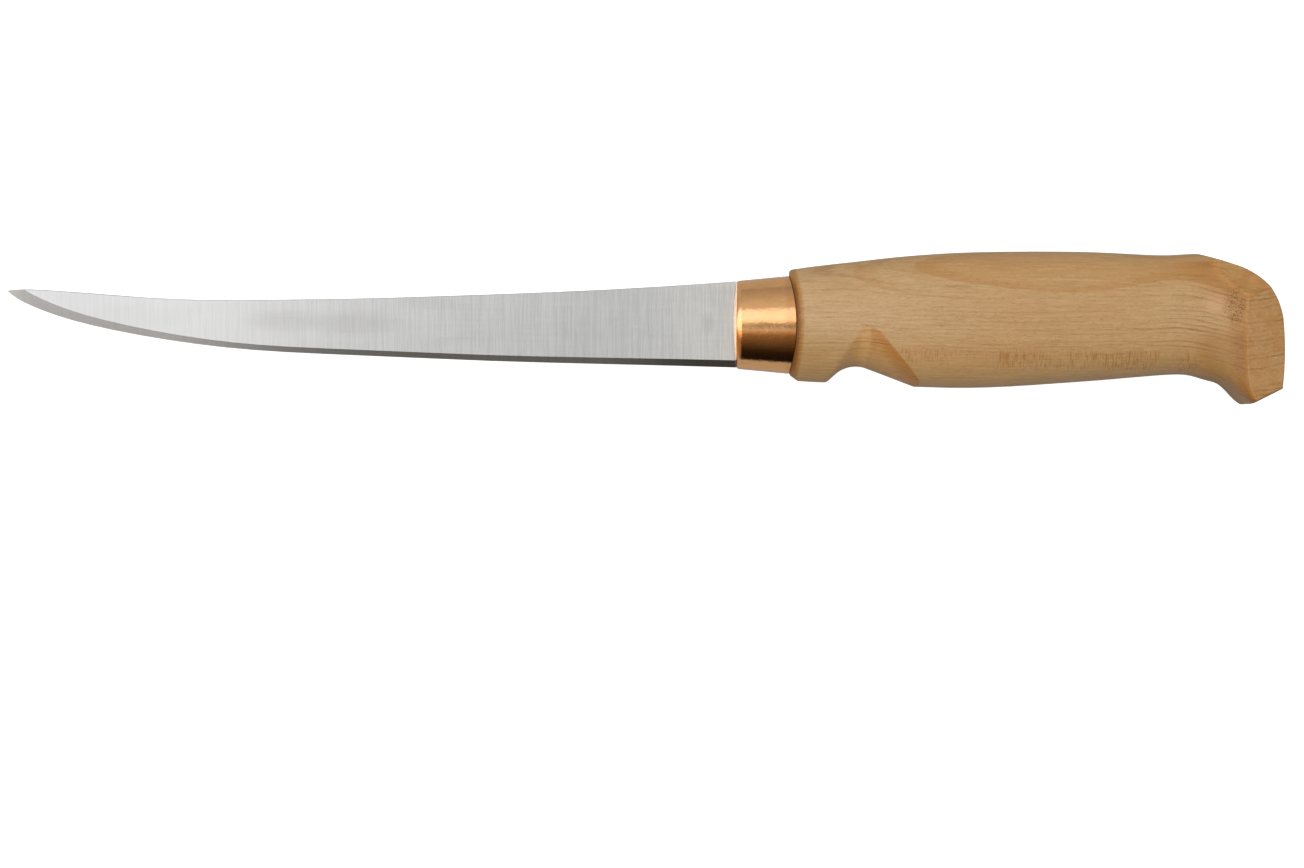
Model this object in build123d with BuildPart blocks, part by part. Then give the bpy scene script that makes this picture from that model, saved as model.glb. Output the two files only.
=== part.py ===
from build123d import *
from math import copysign, cos, pi, radians, sin, sqrt, tan
import os

# A fillet knife with a slim upswept blade, a drawn metal ferrule and a shaped birch handle.
# It lies on its side: +X runs from the tip to the butt, +Y from the edge to the spine and +Z
# through the thickness. The origin is on the surface that it lies on, under its middle.
# Lengths are in millimetres and angles in degrees.

# Whole knife
blade_length = 153.35  # tip to the front of the ferrule
ferrule_length = 11.7  # front of the dome to the rim, along the middle
rim_gap = 0.15  # between the ferrule's rim and the shoulder of the wood
handle_length = 103.9  # shoulder to butt
handle_height = 32.4  # top of the grip to the lowest point of the beak
handle_thickness = 21.0  # across the swell
ferrule_rise = 0.69  # the blade's centre line above the middle of handle_height
overrun = 5.0  # how far cutting shapes run past what they cut

tip_x = -(blade_length + ferrule_length + rim_gap + handle_length) / 2
front_x = tip_x + blade_length
rim_x = front_x + ferrule_length
shoulder_x = rim_x + rim_gap
butt_x = shoulder_x + handle_length
middle_z = handle_thickness / 2
middle_plane = Plane.XY.offset(middle_z)

# Blade
blade_height = 18.3  # spine to edge at the heel
stock_thickness = 1.5  # at the spine, by the heel
edge_thickness = 0.41  # where the flats would meet the edge, at the heel
tip_thickness = 1.16  # at the spine's level, at the tip
bevel_angle_heel = 9.5  # of each edge bevel to the middle plane
bevel_angle_tip = 12.5
spine_break = 0.12  # the corners of the spine, broken
heel_gap = 0.03  # between the hollowed heel and the dome

# Outlines from before the heel to beyond the tip, where they cross: shares of blade_length, and of
# blade_height from its centre line
spine_shares = [
    (-0.030, 0.5162),
    (0.031, 0.4802),
    (0.114, 0.4344),
    (0.197, 0.3967),
    (0.280, 0.3685),
    (0.362, 0.3422),
    (0.445, 0.3197),
    (0.528, 0.3017),
    (0.610, 0.2922),
    (0.693, 0.2852),
    (0.778, 0.3012),
    (0.879, 0.3612),
    (0.950, 0.4032),
    (0.978, 0.4098),
    (1.000, 0.3972),
    (1.024, 0.3702),
]
edge_shares = [
    (-0.030, -0.4988),
    (0.128, -0.4623),
    (0.348, -0.4120),
    (0.514, -0.3525),
    (0.679, -0.2770),
    (0.789, -0.1598),
    (0.872, -0.0268),
    (0.927, 0.0952),
    (0.968, 0.2252),
    (0.990, 0.3242),
    (1.000, 0.3972),
    (1.009, 0.4752),
]
bevel_stations = 30  # places along the edge where the bevels are set out, closer at the tip
bevel_low_share = -0.3  # the bevel tool's lower and upper levels, as shares of stock_thickness
bevel_high_share = 0.7

# Stick tang and the resin around it
tang_length = 62.0  # beyond the heel
tang_height_heel = 11.0
tang_height_end = 7.0
tang_end_rise = 1.1  # the tang's centre line climbs by this much
tang_relief = 0.05  # how far the tang lies under the blade's flats
tang_corner = 2.0
notch_radius = 1.1  # half-round notches that key the tang into the resin
notch_pairs = 3
notch_pitch = 15.0
resin_thickness = 0.75  # around the tang

# Ferrule
ferrule_front_height = 18.45
ferrule_front_width = 14.8
ferrule_rim_height = 20.65
ferrule_rim_width = 16.5
ferrule_wall = 0.8
ferrule_corner = 0.7
dome_radius = 56.0
slot_clearance = 0.12
spigot_clearance = 0.05
shoulder_radius = 27.0  # the rim and the shoulder curve round an upright axis behind them

# Grip sections from the shoulder to past the butt. Each row: place, as a share of handle_length;
# top, bottom and widest level, as shares of handle_height from its middle; half the thickness,
# as a share of handle_thickness; and how full the oval is above and below, where 2 is an ellipse.
grip_shares = [
    (-0.030, 0.3659, -0.3366, 0.025, 0.4167, 1.90, 1.90),
    (0.020, 0.3896, -0.3459, 0.025, 0.4190, 1.90, 1.90),
    (0.076, 0.4126, -0.3554, 0.025, 0.4214, 1.90, 1.90),
    (0.152, 0.4394, -0.3668, 0.027, 0.4248, 2.10, 2.10),
    (0.200, 0.4561, -0.3754, 0.030, 0.4490, 2.35, 2.35),
    (0.253, 0.4716, -0.3823, 0.033, 0.4690, 2.48, 2.48),
    (0.345, 0.4902, -0.3897, 0.041, 0.4865, 2.48, 2.48),
    (0.441, 0.4971, -0.3819, 0.047, 0.4980, 2.48, 2.48),
    (0.537, 0.4981, -0.3622, 0.049, 0.4980, 2.50, 2.50),
    (0.634, 0.4916, -0.3396, 0.049, 0.4820, 2.50, 2.50),
    (0.721, 0.4777, -0.3158, 0.045, 0.4580, 2.50, 2.50),
    (0.773, 0.4750, -0.3040, 0.041, 0.4440, 2.50, 2.50),
    (0.816, 0.4826, -0.3094, 0.035, 0.4380, 2.50, 2.70),
    (0.850, 0.4831, -0.3395, 0.027, 0.4460, 2.50, 3.10),
    (0.878, 0.4826, -0.3655, 0.019, 0.4640, 2.50, 4.20),
    (0.904, 0.4816, -0.4337, 0.011, 0.4830, 2.50, 6.00),
    (0.928, 0.4816, -0.4948, 0.005, 0.5030, 2.50, 8.00),
    (0.974, 0.4816, -0.5029, 0.005, 0.5250, 2.50, 8.50),
    (1.030, 0.4816, -0.5029, 0.005, 0.5400, 2.50, 8.50),
]
oval_points = 28
shoulder_round = 0.8
toe_chamfer_length = 1.7  # the lower front corner of the wood, cut off
toe_chamfer_height = 1.43
toe_level_share = -0.3429  # of the cut's rear end: a share of handle_height

# Finger notch: a groove turned into the lower half, round an axis that dips towards the butt
finger_x = 13.79  # its sharp bottom, behind the shoulder
finger_depth = 8.0  # of that bottom below the turning axis
finger_axis_rise = 0.76
finger_axis_dip = 8.0
finger_front_angle = 50.0
finger_back_angle = 13.0
finger_root_radius = 6.4
finger_reach = 18.0  # of the turned groove's flanks from its axis
finger_lip_round = 1.4

# Butt: its outline, and the sanded facets that slope from its sides to that outline. The outline's
# places are shares of handle_length from the shoulder, and of handle_height from its middle
butt_edge_height = 5.2  # of the end wall's rim over the middle plane
end_facet_slope = 0.58
top_facet_slope = 0.80
crown_start_shares = (0.8170, 0.4947)
crown_middle_shares = (0.8699, 0.4465)
crown_end_shares = (0.9044, 0.4028)
brow_end_shares = (0.9966, 0.0593)
end_middle_shares = (1.0000, -0.1533)
beak_top_shares = (0.9947, -0.3984)
beak_low_shares = (0.9241, -0.5010)
butt_round = 0.8  # the facets' rims and ridges
crown_round = 1.2  # where the crown's flat leaves the grip


def blade_point(place):
    along, rise = place
    return (front_x - along * blade_length, ferrule_rise + rise * blade_height)


def flat_plane(sink):
    """The plane of the blade's upper flat, or one that lies sink under it."""
    cross_slope = (stock_thickness - edge_thickness) / 2 / blade_height
    distal_slope = (stock_thickness - tip_thickness) / 2 / blade_length
    spine_at_heel = (front_x, ferrule_rise + blade_height / 2, middle_z + stock_thickness / 2 - sink)
    return Plane(origin=spine_at_heel, z_dir=(-distal_slope, -cross_slope, 1))


def mirrored_plane(plane):
    """The same plane on the lower side of the middle plane, facing outward."""
    origin, normal = plane.origin, plane.z_dir
    return Plane(
        origin=(origin.X, origin.Y, 2 * middle_z - origin.Z),
        z_dir=(normal.X, normal.Y, -normal.Z),
    )


def bevel_shape():
    """What the upper edge bevel removes: all that lies above a strip that leans in from the edge."""
    edge = Spline(*[blade_point(place) for place in edge_shares])
    outside_y = ferrule_rise - blade_height / 2 - overrun
    outside_x = tip_x - 2 * overrun
    with BuildPart() as shape:
        for level_share in (bevel_low_share, bevel_high_share):
            level = level_share * stock_thickness
            strip = []
            for station in range(bevel_stations + 1):
                share = 1 - (1 - station / bevel_stations) ** 2
                along = edge % share
                angle = bevel_angle_heel + (bevel_angle_tip - bevel_angle_heel) * share
                inward = level / tan(radians(angle))
                strip.append(edge @ share + Vector(along.Y, -along.X) * inward)
            with BuildSketch(middle_plane.offset(level)):
                with BuildLine():
                    Spline(*strip)
                    Polyline(
                        strip[-1],
                        (outside_x, strip[-1].Y),
                        (outside_x, outside_y),
                        (strip[0].X, outside_y),
                        strip[0],
                    )
                make_face()
        loft(ruled=True)
    return shape.part


def tang_outline(margin):
    """The tang's outline, grown by margin above, below and behind."""
    start_x = front_x - overrun
    end_x = front_x + tang_length
    end_y = ferrule_rise + tang_end_rise
    return [
        (start_x, ferrule_rise + tang_height_heel / 2 + margin),
        (front_x, ferrule_rise + tang_height_heel / 2 + margin),
        (end_x + margin, end_y + tang_height_end / 2 + margin),
        (end_x + margin, end_y - tang_height_end / 2 - margin),
        (front_x, ferrule_rise - tang_height_heel / 2 - margin),
        (start_x, ferrule_rise - tang_height_heel / 2 - margin),
    ]


def oval_body(end_x, inset):
    """The ferrule's tapered oval with its domed front, inset all round, up to end_x."""
    growth = (end_x - front_x) / ferrule_length
    rear_height = ferrule_front_height + growth * (ferrule_rim_height - ferrule_front_height)
    rear_width = ferrule_front_width + growth * (ferrule_rim_width - ferrule_front_width)
    centre = (front_x + dome_radius, ferrule_rise, middle_z)
    with BuildPart() as body:
        for x, height, width in (
            (front_x, ferrule_front_height, ferrule_front_width),
            (end_x, rear_height, rear_width),
        ):
            with BuildSketch(Plane.YZ.offset(x)):
                with Locations((ferrule_rise, middle_z)):
                    Ellipse(height / 2 - inset, width / 2 - inset)
        loft(ruled=True)
        with Locations(centre):
            Sphere(dome_radius - inset, mode=Mode.INTERSECT)
    return body.part


def behind_shoulder():
    """Everything behind the shoulder's curved front."""
    reach = handle_height + overrun
    with BuildPart() as space:
        with BuildSketch(Plane.XZ.offset(-reach)):
            with Locations((shoulder_x + shoulder_radius, middle_z)):
                Circle(shoulder_radius)
                with Locations((handle_length / 2, 0)):
                    Rectangle(handle_length, 2 * shoulder_radius)
        extrude(amount=2 * reach)
    return space.part


def shoulder_cylinder(front):
    """An upright-axis cylinder whose foremost line is at front."""
    reach = handle_height + overrun
    with BuildPart() as post:
        with BuildSketch(Plane.XZ.offset(-reach)):
            with Locations((front + shoulder_radius, middle_z)):
                Circle(shoulder_radius)
        extrude(amount=2 * reach)
    return post.part


def oval_points_at(row):
    """Points round one section of the grip, from its top."""
    _, top_share, bottom_share, level_share, half_share, full_above, full_below = row
    level = level_share * handle_height
    up = top_share * handle_height - level
    down = level - bottom_share * handle_height
    half = half_share * handle_thickness
    points = []
    for step in range(oval_points):
        turn = 2 * pi * step / oval_points
        reach, fullness = (up, full_above) if cos(turn) > 0 else (down, full_below)
        sideways = copysign(abs(sin(turn)) ** (2 / fullness), sin(turn))
        upward = copysign(abs(cos(turn)) ** (2 / fullness), cos(turn))
        points.append((level + reach * upward, middle_z + half * sideways))
    return points


def butt_place(place):
    along_share, rise_share = place
    return (shoulder_x + along_share * handle_length, rise_share * handle_height)


def leans_upward(face):
    """Whether a face of the handle is a sanded facet: upright walls are not."""
    return abs(face.normal_at().Z) > end_facet_slope


def facet_plane(point, outward, slope):
    """A facet that starts butt_edge_height over the middle plane at point, and rises inward."""
    length = sqrt(outward[0] ** 2 + outward[1] ** 2)
    lean = (slope * outward[0] / length, slope * outward[1] / length, 1)
    return Plane(origin=(point[0], point[1], middle_z + butt_edge_height), z_dir=lean)


def butt_facets():
    """The upper side's facets, towards the end wall and towards the crown."""
    start, fall = Vector(*butt_place(crown_start_shares)), Vector(*butt_place(crown_end_shares))
    crown_outward = (start.Y - fall.Y, fall.X - start.X)
    return [
        facet_plane((butt_x, 0), (1, 0), end_facet_slope),
        facet_plane(butt_place(crown_middle_shares), crown_outward, top_facet_slope),
    ]


def inside_butt_outline():
    """An upright prism with the butt's outline at its end."""
    fall_start, fall_end = Vector(*butt_place(crown_start_shares)), Vector(*butt_place(crown_end_shares))
    top, low = Vector(*butt_place(beak_top_shares)), Vector(*butt_place(beak_low_shares))
    above = fall_start + (fall_start - fall_end)
    below = low + (low - top)
    front = shoulder_x - 2 * overrun
    with BuildPart() as prism:
        with BuildSketch(middle_plane):
            with BuildLine():
                Line(above, fall_end)
                brow = TangentArc(fall_end, butt_place(brow_end_shares), tangent=fall_end - fall_start)
                ThreePointArc(brow @ 1, butt_place(end_middle_shares), top)
                Polyline(top, below, (front, below.Y), (front, above.Y), above)
            make_face()
        extrude(amount=handle_thickness, both=True)
    return prism.part


def toe_plane():
    """The flat that cuts off the wood's lower front corner."""
    foot = Vector(shoulder_x + toe_chamfer_length, toe_level_share * handle_height, middle_z)
    return Plane(origin=foot, z_dir=(-toe_chamfer_height, -toe_chamfer_length, 0))


def finger_groove():
    """The turned groove: a rounded vee, swept half a turn under its axis from side to side."""
    dip = radians(finger_axis_dip)
    pivot = (shoulder_x + finger_x, finger_axis_rise, middle_z)
    axis_direction = (cos(dip), -sin(dip), 0)
    side = Plane(origin=pivot, x_dir=axis_direction, z_dir=(-sin(dip), -cos(dip), 0))
    front, back = radians(finger_front_angle), radians(finger_back_angle)
    bottom = (0, finger_depth)
    front_end = (-finger_reach * cos(front), finger_depth + finger_reach * sin(front))
    back_end = (2 * finger_reach * cos(back), finger_depth + 2 * finger_reach * sin(back))
    outer = finger_depth + 2 * finger_reach
    with BuildPart() as groove:
        with BuildSketch(side) as vee:
            with BuildLine():
                Polyline(
                    bottom,
                    back_end,
                    (back_end[0], outer),
                    (front_end[0], outer),
                    front_end,
                    bottom,
                )
            make_face()
            fillet(vee.vertices().sort_by(Axis.Y)[0], finger_root_radius)
        revolve(axis=Axis(pivot, axis_direction), revolution_arc=180)
    return groove.part


# Blade: flats and bevels, with the edge where the two bevels cross
upper_flat = flat_plane(0)
upper_bevel = bevel_shape()
with BuildPart() as ground_plate:
    with BuildSketch(middle_plane):
        with BuildLine():
            spine = Spline(*[blade_point(place) for place in spine_shares])
            low_y = ferrule_rise - blade_height / 2 - overrun / 2
            Polyline(spine @ 1, ((spine @ 1).X, low_y), ((spine @ 0).X, low_y), spine @ 0)
        make_face()
    extrude(amount=stock_thickness, both=True)
    split(bisect_by=upper_flat, keep=Keep.BOTTOM)
    split(bisect_by=mirrored_plane(upper_flat), keep=Keep.BOTTOM)
    chamfer(ground_plate.edges().filter_by(GeomType.BSPLINE), spine_break)
    with Locations((front_x + dome_radius, ferrule_rise, middle_z)):
        Sphere(dome_radius + heel_gap, mode=Mode.SUBTRACT)
    add(upper_bevel, mode=Mode.SUBTRACT)
    add(upper_bevel.mirror(middle_plane), mode=Mode.SUBTRACT)

with BuildPart() as tang:
    with BuildSketch(middle_plane) as tang_side:
        with BuildLine():
            Polyline(*tang_outline(0), close=True)
        make_face()
        fillet(tang_side.vertices().sort_by(Axis.X)[-2:], tang_corner)
        for pair in range(notch_pairs):
            notch_x = front_x + tang_length - (pair + 0.5) * notch_pitch
            along = (notch_x - front_x) / tang_length
            half = (tang_height_heel + (tang_height_end - tang_height_heel) * along) / 2
            level = ferrule_rise + tang_end_rise * along
            with Locations((notch_x, level + half), (notch_x, level - half)):
                Circle(notch_radius, mode=Mode.SUBTRACT)
    extrude(amount=stock_thickness, both=True)
    under_flat = flat_plane(tang_relief)
    split(bisect_by=under_flat, keep=Keep.BOTTOM)
    split(bisect_by=mirrored_plane(under_flat), keep=Keep.BOTTOM)

with BuildPart() as blade:
    add(ground_plate.part)
    add(tang.part)

blade.part.label = "blade"

# Ferrule: a drawn cup, slotted for the tang
ferrule_outside = oval_body(rim_x + overrun, 0)
ferrule_inside = oval_body(rim_x + overrun, ferrule_wall)
behind_rim = shoulder_cylinder(rim_x)
with BuildPart() as ferrule:
    add(ferrule_outside)
    add(behind_rim, mode=Mode.SUBTRACT)
    front_rim = ferrule.edges().filter_by(GeomType.LINE, reverse=True).sort_by(Axis.X)[0]
    fillet(front_rim, ferrule_corner)
    add(ferrule_inside, mode=Mode.SUBTRACT)
    with BuildSketch(Plane.YZ.offset(front_x - overrun)):
        with Locations((ferrule_rise, middle_z)):
            Rectangle(tang_height_heel + 2 * slot_clearance, stock_thickness + 2 * slot_clearance)
    extrude(amount=ferrule_length, mode=Mode.SUBTRACT)

ferrule.part.label = "ferrule"

# Mortise: the space in the wood that the tang and its resin fill
with BuildPart() as mortise:
    with BuildSketch(middle_plane):
        with BuildLine():
            Polyline(*tang_outline(resin_thickness), close=True)
        make_face()
    extrude(amount=stock_thickness / 2 + resin_thickness, both=True)

# Handle
shoulder_space = behind_shoulder()
butt_prism = inside_butt_outline()
finger_notch = finger_groove()
spigot = oval_body(shoulder_x + overrun, ferrule_wall + spigot_clearance)
with BuildPart() as handle:
    for row in grip_shares:
        with BuildSketch(Plane.YZ.offset(shoulder_x + row[0] * handle_length)):
            with BuildLine():
                Spline(*oval_points_at(row), periodic=True)
            make_face()
    loft()
    add(shoulder_space, mode=Mode.INTERSECT)
    add(butt_prism, mode=Mode.INTERSECT)
    for facet in butt_facets():
        split(bisect_by=facet, keep=Keep.BOTTOM)
        split(bisect_by=mirrored_plane(facet), keep=Keep.BOTTOM)
    split(bisect_by=toe_plane(), keep=Keep.BOTTOM)
    add(finger_notch, mode=Mode.SUBTRACT)
    crown_x, _ = butt_place(crown_middle_shares)
    _, fall_y = butt_place(crown_end_shares)
    high_edges = handle.edges().filter_by_position(Axis.Y, fall_y, handle_height / 2)
    fillet(high_edges.filter_by_position(Axis.X, crown_x - overrun, crown_x), crown_round)
    facets = handle.faces().filter_by(GeomType.PLANE).filter_by(leans_upward)
    fillet(facets.edges(), butt_round)
    shoulder_edges = handle.edges().filter_by_position(Axis.X, rim_x, shoulder_x + overrun / 2)
    fillet(shoulder_edges, shoulder_round)
    below = handle.edges().filter_by_position(Axis.Y, -handle_height, -overrun / 2)
    lips = below.filter_by_position(Axis.X, shoulder_x + overrun, shoulder_x + handle_length / 2)
    fillet(lips.filter_by(GeomType.BSPLINE), finger_lip_round)
    add(spigot)
    add(mortise.part, mode=Mode.SUBTRACT)

handle.part.label = "handle"

# Resin round the tang
resin_limit = oval_body(butt_x, ferrule_wall + spigot_clearance)
with BuildPart() as tang_adhesive:
    add(mortise.part)
    add(resin_limit, mode=Mode.INTERSECT)
    add(blade.part, mode=Mode.SUBTRACT)

tang_adhesive.part.label = "tang_adhesive"

os.makedirs("parts", exist_ok=True)
export_step(blade.part, "parts/blade.step")
export_step(ferrule.part, "parts/ferrule.step")
export_step(handle.part, "parts/handle.step")
export_step(tang_adhesive.part, "parts/tang_adhesive.step")
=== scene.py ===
import math

import bpy
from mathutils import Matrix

# A fillet knife lying on its side: slim satin blade, copper-coloured ferrule and birch handle.
# Scene lengths are metres. Inside the materials, lengths are millimetres of the knife's frame:
# x from the tip to the butt, y from the edge to the spine, z up through the thickness.
# Colours are linear. A tint is the share of red, green and blue that a feature leaves. An oval is
# its middle's x and y and half its length and height.

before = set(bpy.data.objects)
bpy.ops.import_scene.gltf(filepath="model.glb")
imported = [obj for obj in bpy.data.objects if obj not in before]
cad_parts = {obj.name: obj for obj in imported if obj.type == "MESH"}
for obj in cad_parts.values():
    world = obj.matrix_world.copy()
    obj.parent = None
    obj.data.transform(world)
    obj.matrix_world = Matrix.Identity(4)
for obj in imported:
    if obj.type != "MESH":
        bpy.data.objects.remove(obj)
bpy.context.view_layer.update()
blade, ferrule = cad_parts["blade"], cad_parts["ferrule"]
handle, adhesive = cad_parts["handle"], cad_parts["tang_adhesive"]


def linear(red, green, blue):
    """A colour of 0 to 255 steps as linear light."""
    shares = [step / 255 for step in (red, green, blue)]
    return [s / 12.92 if s <= 0.04045 else ((s + 0.055) / 1.055) ** 2.4 for s in shares]


class Graph:
    """A node tree with short calls. A value is a number, a colour or another node's socket."""

    def __init__(self, tree):
        self.tree = tree
        tree.nodes.clear()

    def put(self, socket, value):
        if isinstance(value, bpy.types.NodeSocket):
            self.tree.links.new(value, socket)
        elif value is not None:
            if socket.type == "RGBA" and len(value) == 3:
                value = (*value, 1)
            socket.default_value = value

    def new(self, kind, inputs=(), **settings):
        node = self.tree.nodes.new(kind)
        for name, value in settings.items():
            setattr(node, name, value)
        for name, value in dict(inputs).items():
            self.put(node.inputs[name], value)
        return node

    def math(self, operation, *values):
        return self.new("ShaderNodeMath", enumerate(values), operation=operation).outputs[0]

    def add(self, *values):
        total = values[0]
        for value in values[1:]:
            total = self.math("ADD", total, value)
        return total

    def times(self, *values):
        total = values[0]
        for value in values[1:]:
            total = self.math("MULTIPLY", total, value)
        return total

    def minus(self, first, second):
        return self.math("SUBTRACT", first, second)

    def length(self, first, second):
        """The length of the line to a point that lies first and second away."""
        squares = self.add(self.times(first, first), self.times(second, second))
        return self.math("SQRT", squares)

    def turn(self, value, start, end, low=0.0, high=1.0):
        """A smooth step of value from low at start to high at end."""
        inputs = {"Value": value, "From Min": start, "From Max": end, "To Min": low, "To Max": high}
        return self.new("ShaderNodeMapRange", inputs, interpolation_type="SMOOTHSTEP").outputs[0]

    def fade(self, value, start, end):
        """A smooth step of value from 1 at start to 0 at end."""
        return self.turn(value, start, end, 1.0, 0.0)

    def band(self, value, start, end, edge):
        """1 between start and end, with smooth edges outside them."""
        return self.times(self.turn(value, start - edge, start), self.fade(value, end, end + edge))

    def share(self, value, start, end):
        """How far value has come from start to end, 0 to 1."""
        return self.new("ShaderNodeMapRange", {0: value, 1: start, 2: end}).outputs[0]

    def axes(self, vector):
        return self.new("ShaderNodeSeparateXYZ", {0: vector}).outputs

    def facing_y(self):
        """How far the surface faces the spine's side, -1 to 1."""
        return self.axes(self.new("ShaderNodeTexCoord").outputs["Normal"])[1]

    def stretch(self, vector, x, y, z):
        inputs = {0: vector, 1: (x, y, z)}
        return self.new("ShaderNodeVectorMath", inputs, operation="MULTIPLY").outputs[0]

    def noise(self, place, per_mm, detail=2.0, roughness=0.5, distortion=0.0):
        """Noise of 0 to 1, with per_mm cells a millimetre along x, y and z."""
        inputs = {"Vector": self.stretch(place, *per_mm), "Scale": 1.0, "Detail": detail,
                  "Roughness": roughness, "Distortion": distortion}
        return self.new("ShaderNodeTexNoise", inputs).outputs["Fac"]

    def lottery(self, number):
        """An unrelated value of 0 to 1 for each whole number, the same in each run."""
        inputs = {"W": number}
        return self.new("ShaderNodeTexWhiteNoise", inputs, noise_dimensions="1D").outputs["Value"]

    def oval_reach(self, x, y, oval):
        """The distance from an oval's middle, which is 1 on its outline."""
        middle_x, middle_y, half_x, half_y = oval
        off_x = self.times(self.add(x, -middle_x), 1 / half_x)
        off_y = self.times(self.add(y, -middle_y), 1 / half_y)
        return self.length(off_x, off_y)

    def mix(self, factor, first, second, kind="MIX"):
        node = self.new("ShaderNodeMix", data_type="RGBA", blend_type=kind)
        colours = [s for s in node.inputs if s.type == "RGBA"]
        self.put(node.inputs[0], factor)
        self.put(colours[0], first)
        self.put(colours[1], second)
        return next(s for s in node.outputs if s.type == "RGBA")

    def tint(self, colour, factor, shares):
        """The colour, multiplied by shares where factor is 1."""
        return self.mix(factor, colour, shares, "MULTIPLY")

    def curve(self, value, points):
        """A smooth curve through points of (value, result), where both are 0 to 1."""
        node = self.new("ShaderNodeFloatCurve", {"Value": value})
        line = node.mapping.curves[0]
        line.points[0].location, line.points[1].location = points[0], points[-1]
        for place in points[1:-1]:
            line.points.new(*place)
        node.mapping.update()
        return node.outputs[0]

    def bump(self, height, distance, normal=None):
        """Height in shares of distance, which is in metres."""
        inputs = {"Height": height, "Distance": distance, "Normal": normal}
        return self.new("ShaderNodeBump", inputs).outputs[0]


def new_material(name):
    """A material's graph, with its shader and the point's place in millimetres."""
    material = bpy.data.materials.new(name)
    material.use_nodes = True
    graph = Graph(material.node_tree)
    shader = graph.new("ShaderNodeBsdfPrincipled")
    graph.new("ShaderNodeOutputMaterial", {"Surface": shader.outputs["BSDF"]})
    place = graph.new("ShaderNodeTexCoord").outputs["Object"]
    return material, graph, shader, graph.stretch(place, 1000, 1000, 1000)


def dress(piece, material):
    piece.data.materials.clear()
    piece.data.materials.append(material)


# Birch: places on the handle
mid_z = 10.5  # of the plane between the knife's two sides
shoulder_front, shoulder_bow = 30.65, 27.0  # the shoulder's foremost line, and its curve's radius
rim_height = 5.2  # of the butt's rim over the middle plane
end_facet = (134.55, 0.0, 0.5017, 0.0, 0.8650)  # x and y of a place on the rim, and the normal
crown_facet = (121.03, 14.42, 0.1941, 0.5937, 0.7809)
facet_edge = -0.10, -0.03  # how far under the facets' planes their tint starts and is full
torn_oval, speckled_oval = (119.6, 5.0, 3.4, 2.3), (123.0, 4.3, 2.6, 4.8)

# The finger groove's axis and profile. The root is an arc, and a straight flank leaves it at each
# end. Lengths are along the axis or away from it
groove_x, groove_y, groove_lean = 44.44, 0.76, math.radians(8)
root_radius, root_middle, root_out = 6.4, 2.382, 15.118
root_start, root_end = -2.52, 3.82
front_slope, back_slope = 1.192, 0.231
front_edge = 1.395, -64.3  # slope and start of the straight lines that end the groove in a point
back_edges = (-0.45, 21.4), (-1.22, 59.4)

# Rings
ring_tilt = math.radians(42)  # their normal, from z towards y
ring_spacing = 2.0
strong_ring = 13.5  # level of the one ring that shows as a clear line
ring_ends = 20.0, 140.0  # x where ring_bends starts and ends
level_bend, bend_height = 0.3, 4.0  # the curve's level value, and millimetres for its whole height
ring_bends = [(0, 0.32), (0.15, 0.3), (0.3, 0.3), (0.39, 0.39), (0.44, 0.45), (0.5, 0.53), (0.56, 0.585),
              (0.6, 0.6), (0.65, 0.58), (0.71, 0.52), (0.75, 0.51), (0.79, 0.575), (0.855, 0.76), (0.9, 0.85),
              (1, 0.9)]

# Colours and tints
wood_dark, wood_light = linear(165, 129, 81), linear(180, 145, 98)
wood_cloudy, wood_torn = linear(172, 131, 82), linear(192, 152, 116)
painted_sheen_tint = (1.08, 1.13, 1.30)
heart_tint, late_tint, close_tint = (0.98, 0.92, 0.82), (0.90, 0.80, 0.62), (0.50, 0.34, 0.17)
pore_tint, dash_tint = (0.86, 0.79, 0.70), (1.10, 1.12, 1.16)
fine_tint, grit_tint = (0.93, 0.90, 0.86), (1.06, 1.07, 1.10)
tick_tint, curl_tint, speck_tint = (0.80, 0.63, 0.40), (0.90, 0.82, 0.70), (0.60, 0.42, 0.26)
facet_tint, mottle_tint = (0.97, 0.90, 0.78), (0.94, 0.84, 0.66)
flare_grain_and_shade_tint, crease_shade_tint, arris_highlight_tint = (0.80, 0.70, 0.50), (0.88, 0.74, 0.50), (1.16, 1.15, 1.10)
groove_tint, back_tint, valley_sheen_tint = (1.08, 0.98, 0.82), (0.84, 0.68, 0.42), (1.12, 1.17, 1.22)
rim_shadow_tint, inner_rim_shadow_tint = (0.80, 0.61, 0.30), (0.52, 0.36, 0.09)


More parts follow.
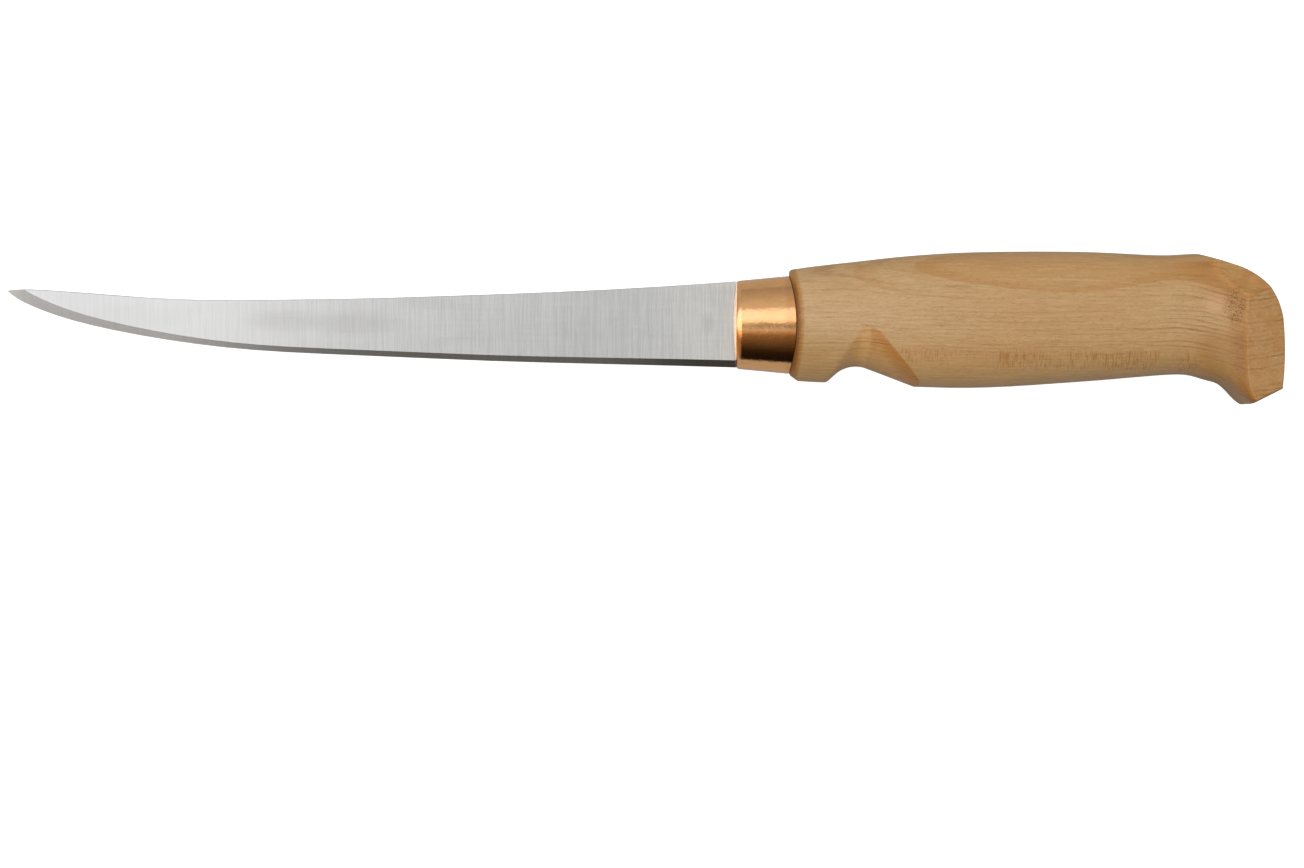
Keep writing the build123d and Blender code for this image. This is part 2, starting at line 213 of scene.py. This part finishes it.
def finger_groove(g, x, y, z):
    """Masks of the groove in the lower side: all of it, its valley, and its flank towards the butt.

    The groove is turned about its axis, so its wall lies where the distance from the axis
    reaches the profile.
    """
    along_x, along_y = g.add(x, -groove_x), g.add(y, -groove_y)
    sine, cosine = math.sin(groove_lean), math.cos(groove_lean)
    station = g.add(g.times(along_x, cosine), g.times(along_y, -sine))
    beside = g.add(g.times(along_x, sine), g.times(along_y, cosine))
    distance = g.length(beside, z)
    in_root = g.math("MINIMUM", g.math("MAXIMUM", station, root_start), root_end)
    off_middle = g.add(in_root, -root_middle)
    root = g.math("SQRT", g.minus(root_radius ** 2, g.times(off_middle, off_middle)))
    before = g.math("MAXIMUM", g.minus(root_start, station), 0.0)
    after = g.math("MAXIMUM", g.add(station, -root_end), 0.0)
    flanks = g.add(g.times(before, front_slope), g.times(after, back_slope), root_out)
    inside = g.minus(g.minus(flanks, root), distance)

    left, *right = [g.add(g.times(x, slope), start) for slope, start in (front_edge, *back_edges)]
    under_edges = g.minus(g.math("SMOOTH_MIN", left, g.math("MINIMUM", *right), 0.6), y)
    groove = g.times(g.fade(inside, 0.05, 0.25), g.turn(under_edges, -0.25, 0.3))
    off_valley = g.math("ABSOLUTE", g.add(x, g.times(y, -0.12), -46.6))
    valley = g.times(g.fade(off_valley, 0.3, 1.5), g.turn(y, -0.8, -3.0))
    back_side = g.times(g.turn(x, 46.6, 48.2), g.turn(under_edges, 6.0, 1.0))
    return groove, valley, back_side


def under_facets(g, x, y, half_z):
    """How far a point lies over the higher of the butt's two facet planes."""
    heights = []
    for place_x, place_y, lean_x, lean_y, lean_z in (end_facet, crown_facet):
        offset = -place_x * lean_x - place_y * lean_y - rim_height * lean_z
        heights.append(g.add(g.times(x, lean_x), g.times(y, lean_y), g.times(half_z, lean_z), offset))
    return g.math("MAXIMUM", *heights)


def broad_rings(g, place, x, y, z):
    """The late wood of the broad rings, and the mask of the wood beyond the clear one.

    Late wood starts sharply and fades upwards.
    """
    bend = g.times(g.minus(g.curve(g.share(x, *ring_ends), ring_bends), level_bend), bend_height)
    wander = g.noise(place, (0.05, 0.15, 0.15), 3.0)
    wave = g.add(bend, g.times(g.minus(wander, 0.5), 0.4))
    level = g.add(g.times(y, math.sin(ring_tilt)), g.times(z, math.cos(ring_tilt)), wave)
    rings = g.math("DIVIDE", g.minus(level, strong_ring), ring_spacing)
    number = g.math("FLOOR", g.add(rings, 0.06))
    within = g.minus(rings, number)
    late = g.times(g.turn(within, -0.05, 0.0), g.fade(within, 0.0, 0.5))
    clear = g.math("LESS_THAN", g.math("ABSOLUTE", number), 0.5)
    second = g.math("LESS_THAN", g.math("ABSOLUTE", g.add(number, 1.0)), 0.5)
    clear = g.math("MAXIMUM", clear, g.times(second, g.turn(x, 50.0, 66.0, 0.8, 0.0)))
    faint = g.times(g.lottery(number), 0.3)
    return g.times(late, g.math("MAXIMUM", faint, clear)), g.turn(rings, -0.05, 0.05)


def close_lines(g, place, x, y, z, heart):
    """Narrow lines, which run level and turn down a little at the butt."""
    toward_butt = g.math("SMOOTH_MAX", g.add(x, -113.0), 0.0, 8.0)
    level = g.add(g.times(y, 1.05), g.times(z, 0.66), g.times(toward_butt, 0.21))
    level = g.add(level, g.times(g.noise(place, (0.07, 0.35, 0.35), 3.0, 0.6), 1.6))
    number = g.math("FLOOR", level)
    within = g.minus(level, number)
    lines = g.times(g.turn(within, 0.45, 0.85), g.fade(within, 0.85, 1.0), g.lottery(number))
    patches = g.turn(g.noise(place, (0.05, 0.25, 0.25)), 0.35, 0.65, 0.3, 1.0)
    return g.times(lines, patches, g.turn(heart, 0.0, 1.0, 1.0, 0.35))


def birch():
    material, g, shader, place = new_material("birch")
    x, y, over_floor = g.axes(place)
    z = g.minus(over_floor, mid_z)
    half_z = g.math("ABSOLUTE", z)
    groove, valley, back_side = finger_groove(g, x, y, z)
    broad, heart = broad_rings(g, place, x, y, z)
    close = close_lines(g, place, x, y, z, heart)

    # The butt's facets, a painted highlight on the line between them, and painted shade on the wood beside
    # them
    under = under_facets(g, x, y, half_z)
    facet = g.turn(under, *facet_edge)
    off_facet = g.minus(1.0, facet)
    # A painted highlight along the crease between the facets
    arris_highlight = g.times(g.turn(under, -0.45, -0.12), g.turn(under, -0.12, -0.02, 1.0, 0.3))
    # Darker end grain with painted shade on the flare before the crease
    flare = g.times(g.turn(x, 112.5, 119.0), g.turn(y, 1.5, -3.5), off_facet)
    # Painted shade along the crease on the grip side
    crease_shade = g.times(g.turn(under, -3.2, -0.6), off_facet, g.turn(x, 100.0, 116.0))
    crease_shade = g.times(crease_shade, g.turn(half_z, 5.3, 5.9))

    # Fibres and pores
    fibre = g.noise(place, (0.1, 2.4, 2.4), 5.0, 0.7, 0.15)
    fine = g.noise(place, (0.45, 3.2, 3.2), 3.0, 0.75)
    dashes = g.turn(g.noise(place, (0.7, 2.4, 2.4), 2.0, 0.6), 0.55, 0.72)
    cloud = g.noise(place, (0.05, 0.16, 0.16))
    pores = g.turn(g.noise(place, (0.8, 3.6, 3.6), 2.0, 0.6), 0.56, 0.70)
    grit = g.noise(place, (1.6, 2.6, 2.6), 3.0, 0.8)
    mottle = g.turn(g.noise(place, (0.3, 0.4, 0.4), 3.0, 0.6), 0.45, 0.65)

    # Short ticks across the grain, in a row on the lower side, and softer curl over them
    ticks = g.turn(g.noise(place, (3.6, 0.4, 0.4), 2.0, 0.6), 0.46, 0.62)
    groups = g.turn(g.noise(place, (0.16, 0.1, 0.1)), 0.42, 0.58, 0.25, 1.0)
    row_level = g.add(y, g.times(x, 0.012))
    row = g.times(g.band(x, 54.0, 114.0, 9.0), g.band(row_level, -7.0, -4.6, 1.3))
    row = g.times(row, g.turn(z, 0.0, 3.0), groups)
    curl = g.times(g.turn(g.noise(place, (1.3, 0.5, 0.5)), 0.45, 0.65),
                   g.band(x, 68.0, 104.0, 8.0), g.band(row_level, -4.0, 1.5, 3.0))

    # A patch of torn fibres on the upper side by the butt, with small specks towards the crease
    ragged = g.times(g.noise(place, (0.7, 0.7, 0.7)), 0.8)
    torn, speckled = [g.times(g.fade(g.add(g.oval_reach(x, y, oval), ragged), 0.9, 1.5),
                              g.turn(z, 4.0, 7.0)) for oval in (torn_oval, speckled_oval)]
    specks = g.turn(g.noise(place, (3.6, 4.4, 4.4), 2.0, 0.7), 0.53, 0.62)

    colour = g.mix(g.turn(fibre, 0.28, 0.72), wood_dark, wood_light)
    colour = g.mix(g.times(g.turn(cloud, 0.35, 0.7), 0.4), colour, wood_cloudy)
    # Painted sheen: paler and bluer on the front of the side, above the middle
    colour = g.tint(colour, g.times(g.fade(x, 40.0, 80.0), g.band(y, 0.0, 10.0, 5.0)), painted_sheen_tint)
    colour = g.tint(colour, g.times(heart, 0.6), heart_tint)
    colour = g.tint(colour, g.times(broad, 0.75), late_tint)
    end_grain = g.math("MAXIMUM", facet, groove)
    close_share = g.math("MAXIMUM", g.turn(x, 106.0, 120.0, 0.35, 1.0), end_grain)
    colour = g.tint(colour, g.times(close, close_share), close_tint)
    colour = g.tint(colour, g.times(pores, 0.5), pore_tint)
    colour = g.tint(colour, g.times(dashes, 0.45), dash_tint)
    colour = g.tint(colour, g.turn(fine, 0.3, 0.7), fine_tint)
    colour = g.tint(colour, g.turn(grit, 0.35, 0.65), grit_tint)
    colour = g.tint(colour, g.times(ticks, row, g.minus(1.0, groove)), tick_tint)
    colour = g.tint(colour, g.times(curl, 0.3), curl_tint)
    colour = g.mix(g.times(torn, 0.45), colour, wood_torn)
    colour = g.tint(colour, g.times(speckled, specks), speck_tint)

    # Cut surfaces drink more finish. Painted shade lies on the flare and along the crease, a painted
    # highlight on the arris, and painted sheen in the groove's valley
    colour = g.tint(colour, facet, facet_tint)
    colour = g.tint(colour, g.times(facet, mottle), mottle_tint)
    colour = g.tint(colour, flare, flare_grain_and_shade_tint)
    colour = g.tint(colour, crease_shade, crease_shade_tint)
    colour = g.tint(colour, arris_highlight, arris_highlight_tint)
    colour = g.tint(colour, groove, groove_tint)
    colour = g.tint(colour, g.times(groove, back_side, g.minus(1.0, valley)), back_tint)
    # Painted sheen in the groove's valley: paler and bluer
    colour = g.tint(colour, g.times(groove, valley), valley_sheen_tint)

    # The shoulder's rim carries a painted shadow of the gap at the ferrule, by the distance behind its front
    # line
    bow = g.math("SQRT", g.minus(shoulder_bow ** 2, g.times(z, z)))
    behind = g.add(x, bow, -shoulder_front - shoulder_bow)
    behind = g.add(behind, g.times(g.minus(g.noise(place, (0.5, 1.5, 1.5), 3.0), 0.5), 0.6))
    mid_rim = g.band(y, -7.5, 8.0, 4.0)
    colour = g.tint(colour, g.fade(behind, 0.9, 1.7), rim_shadow_tint)
    colour = g.tint(colour, g.times(g.fade(behind, 0.2, 1.0), mid_rim), inner_rim_shadow_tint)

    shader.inputs["Specular IOR Level"].default_value = 0.45
    g.put(shader.inputs["Base Color"], colour)
    g.put(shader.inputs["Roughness"], g.add(g.times(fibre, 0.14), g.times(torn, 0.2), 0.36))
    height = g.add(g.times(fibre, 0.5), g.times(fine, 0.4), g.times(pores, -0.6))
    height = g.add(height, g.times(speckled, specks, -1.0))
    g.put(shader.inputs["Normal"], g.bump(height, 0.00005))
    return material


steel_light, steel_dark = (0.805, 0.803, 0.795), (0.655, 0.653, 0.645)
steel_marks = [(-61.0, 1.0, 8.0, 2.5), (-76.0, 1.6, 7.0, 2.2), (13.6, 1.0, 1.3, 1.9)]
tip_tint, mark_tint = (0.86, 0.86, 0.87), (0.89, 0.885, 0.875)
smudge_tint, cloud_tint = (0.88, 0.88, 0.88), (0.90, 0.90, 0.90)
# Towards the heel the flat brightens and the painted shade on the edge bevels deepens: x where a tint starts
# and is full
heel_tints = [(0.0, 14.0, (1.13, 1.11, 1.07)), (16.6, 17.6, (1.03, 1.02, 1.01))]
bevel_shade_tint = (0.64, 0.62, 0.59)
bevel_shade_tints = [(-95.0, -45.0, (0.66, 0.64, 0.60)), (-12.0, 14.0, (0.34, 0.32, 0.29))]


def satin_steel():
    """Steel brushed across the blade, with painted shade that darkens its bevels along the edge."""
    material, g, shader, place = new_material("satin_steel")
    x, y = g.axes(place)[:2]
    bevel = g.fade(g.facing_y(), -0.14, -0.09)
    wide = g.noise(place, (2.2, 0.06, 0.06), 5.0, 0.75)
    close = g.noise(place, (7.0, 0.12, 0.12), 3.0, 0.6)
    crossing = g.noise(place, (0.07, 4.0, 4.0), 3.0, 0.6)
    cloud = g.noise(place, (0.03, 0.10, 0.10))
    smudge = g.turn(g.noise(place, (0.05, 0.16, 0.16), 2.0, 0.4), 0.48, 0.7)
    scratch = g.add(g.times(wide, 0.42), g.times(close, 0.4), g.times(crossing, 0.18))
    toward_heel = g.turn(x, -100.0, -30.0, 0.35, 0.9)

    colour = g.mix(g.times(g.turn(scratch, 0.42, 0.58), toward_heel), steel_light, steel_dark)
    colour = g.tint(colour, g.fade(x, -125.0, -88.0), tip_tint)
    for oval in steel_marks:
        mark = g.fade(g.add(g.oval_reach(x, y, oval), g.times(smudge, 0.9)), 0.3, 1.6)
        colour = g.tint(colour, mark, mark_tint)
    colour = g.tint(colour, g.times(smudge, toward_heel, 0.6), smudge_tint)
    colour = g.tint(colour, g.times(cloud, 0.3), cloud_tint)
    for start, end, shares in heel_tints:
        colour = g.tint(colour, g.turn(x, start, end), shares)
    # Painted shade on the edge bevels, darkest towards the heel
    colour = g.tint(colour, bevel, bevel_shade_tint)
    for start, end, shares in bevel_shade_tints:
        colour = g.tint(colour, g.times(bevel, g.turn(x, start, end)), shares)

    g.put(shader.inputs["Base Color"], colour)
    shader.inputs["Metallic"].default_value = 1
    rough = g.add(g.times(scratch, 0.10), 0.20)
    g.put(shader.inputs["Roughness"], g.add(rough, g.times(bevel, -0.08)))
    g.put(shader.inputs["Normal"], g.bump(scratch, 0.000003))
    return material


copper_light, copper_dark = (0.93, 0.51, 0.225), (0.89, 0.475, 0.20)


def copper_metal():
    """Polished copper with faint tarnish. Its upper side is paler, a painted highlight, and its lower side
    redder and darker, a painted shade.
    """
    material, g, shader, place = new_material("copper_metal")
    x = g.axes(place)[0]
    facing_y = g.facing_y()
    smear = g.noise(place, (0.25, 0.5, 0.5), 4.0, 0.6)
    speck = g.noise(place, (1.6, 2.2, 2.2), 3.0, 0.65)
    hair = g.noise(place, (0.25, 8.0, 8.0), 3.0, 0.6)
    tarnish = g.turn(g.noise(place, (0.5, 0.7, 0.7), 4.0, 0.6), 0.5, 0.75)

    colour = g.mix(g.turn(smear, 0.35, 0.7), copper_light, copper_dark)
    colour = g.tint(colour, g.times(tarnish, 0.25), (0.85, 0.74, 0.62))
    colour = g.tint(colour, g.times(g.turn(speck, 0.5, 0.8), 0.3), (0.82, 0.74, 0.64))
    # Painted highlight: the band that faces a little towards the spine is paler
    colour = g.tint(colour, g.band(facing_y, 0.08, 0.26, 0.04), (1.0, 1.04, 1.2))
    # Painted shade: the side that faces the edge is redder and darker
    low_side = g.times(g.turn(facing_y, -0.06, -0.2), g.turn(facing_y, -0.7, -0.6))
    colour = g.tint(colour, low_side, (1.0, 0.70, 0.42))
    # Painted shade along the ferrule's rear rim, by the gap at the wood
    rim = g.turn(x, 29.4, 30.2)
    colour = g.tint(colour, g.times(rim, 0.4), (0.8, 0.7, 0.6))

    g.put(shader.inputs["Base Color"], colour)
    shader.inputs["Metallic"].default_value = 1
    rough = g.add(g.times(smear, 0.06), g.times(tarnish, 0.06), g.times(speck, 0.04), 0.02)
    g.put(shader.inputs["Roughness"], rough)
    height = g.add(g.times(smear, 0.45), g.times(speck, 0.2), g.times(hair, 0.04))
    front_round = g.bump(g.turn(x, 18.6, 20.6), 0.00025)
    g.put(shader.inputs["Normal"], g.bump(height, 0.00007, front_round))
    return material


def hard_resin():
    material, g, shader, place = new_material("hard_resin")
    cloud = g.noise(place, (0.6, 0.6, 0.6), 3.0)
    speck = g.noise(place, (5.0, 5.0, 5.0))
    g.put(shader.inputs["Base Color"], g.mix(cloud, linear(120, 84, 40), linear(158, 118, 66)))
    g.put(shader.inputs["Roughness"], g.add(g.times(speck, 0.2), 0.3))
    g.put(shader.inputs["Normal"], g.bump(cloud, 0.0001))
    return material


dress(handle, birch())
dress(blade, satin_steel())
dress(ferrule, copper_metal())
dress(adhesive, hard_resin())

# Floor, which the camera sees as white
floor_reach = 4.0
corners = [(-floor_reach, -floor_reach, 0), (floor_reach, -floor_reach, 0),
           (floor_reach, floor_reach, 0), (-floor_reach, floor_reach, 0)]
floor_mesh = bpy.data.meshes.new("floor")
floor_mesh.from_pydata(corners, [], [(0, 1, 2, 3)])
floor = bpy.data.objects.new("floor", floor_mesh)
bpy.context.scene.collection.objects.link(floor)
floor_paint, g, shader, place = new_material("floor_paint")
shader.inputs["Roughness"].default_value = 0.9
shader.inputs["Specular IOR Level"].default_value = 0.1
grain = g.noise(place, (0.4, 0.4, 0.4))
g.put(shader.inputs["Base Color"], g.mix(grain, (0.45, 0.45, 0.45), (0.41, 0.41, 0.41)))
seen = g.new("ShaderNodeLightPath").outputs["Is Camera Ray"]
shader.inputs["Emission Color"].default_value = (1, 1, 1, 1)
g.put(shader.inputs["Emission Strength"], g.times(seen, 0.9))
dress(floor, floor_paint)

# Studio light: an overhead softbox, a grey room behind the spine, a dark one before the edge, a
# bright box beyond the tip and grey walls at both ends. The room is given by pairs of lean, in
# degrees from straight up towards the spine, and strength
room_lights = [(-90, 0.3), (-86, 0.03), (-72, 0.015), (-60, 0.025), (-50, 0.06), (-40, 0.12),
               (-30, 0.18), (-22, 0.25), (-17, 0.36), (-12, 0.64), (-9, 0.66), (-6, 0.40), (-1, 0.38),
               (4, 0.9), (8, 1.35), (28, 1.4), (31, 1.05), (35, 0.74), (48, 0.64), (62, 0.52),
               (78, 0.43), (90, 0.38)]
room_top = 1.6  # strength at the whole height of the room's curve
world = bpy.data.worlds.new("studio")
bpy.context.scene.world = world
world.use_nodes = True
g = Graph(world.node_tree)
dx, dy, dz = g.axes(g.new("ShaderNodeTexCoord").outputs["Generated"])
lean = g.times(g.math("ARCTAN2", dy, dz), 180 / math.pi)
room_curve = [((degrees + 90) / 180, light / room_top) for degrees, light in room_lights]
room = g.times(g.curve(g.share(lean, -90.0, 90.0), room_curve), room_top)
tip_box = g.times(g.turn(dx, -0.08, -0.24), g.turn(lean, -42.0, -4.0, 0.1, 1.75))
tip_box = g.times(tip_box, g.turn(lean, 30.0, 40.0, 1.0, 0.3))
end_walls = g.turn(g.math("ABSOLUTE", dx), 0.12, 0.4, 0.0, 0.4)
strength = g.math("MAXIMUM", g.math("MAXIMUM", tip_box, room), end_walls)
surround = g.new("ShaderNodeBackground", {"Color": (1, 1, 1), "Strength": strength})
backdrop = g.new("ShaderNodeBackground", {"Color": (0.9, 0.9, 0.9), "Strength": 1.0})
seen = g.new("ShaderNodeLightPath").outputs["Is Camera Ray"]
both = g.new("ShaderNodeMixShader", {0: seen, 1: surround.outputs[0], 2: backdrop.outputs[0]})
g.new("ShaderNodeOutputWorld", {"Surface": both.outputs[0]})

fill_data = bpy.data.lights.new("fill", "AREA")
fill_data.shape, fill_data.size, fill_data.size_y = "RECTANGLE", 1.6, 1.6
fill_data.energy = 8.3
fill = bpy.data.objects.new("fill", fill_data)
fill.location = (0.0, 0.1, 1.2)
fill.visible_glossy = False
fill.visible_camera = False
bpy.context.scene.collection.objects.link(fill)

# Camera, looking straight down on the knife's side
camera_data = bpy.data.cameras.new("camera")
camera_data.lens, camera_data.sensor_width = 91.47, 36
camera_data.clip_start, camera_data.clip_end = 0.01, 20
camera = bpy.data.objects.new("camera", camera_data)
camera.location = (0.001704, -0.022357, 0.7105)
bpy.context.scene.collection.objects.link(camera)
bpy.context.scene.camera = camera
bpy.context.scene.view_settings.view_transform = "Standard"
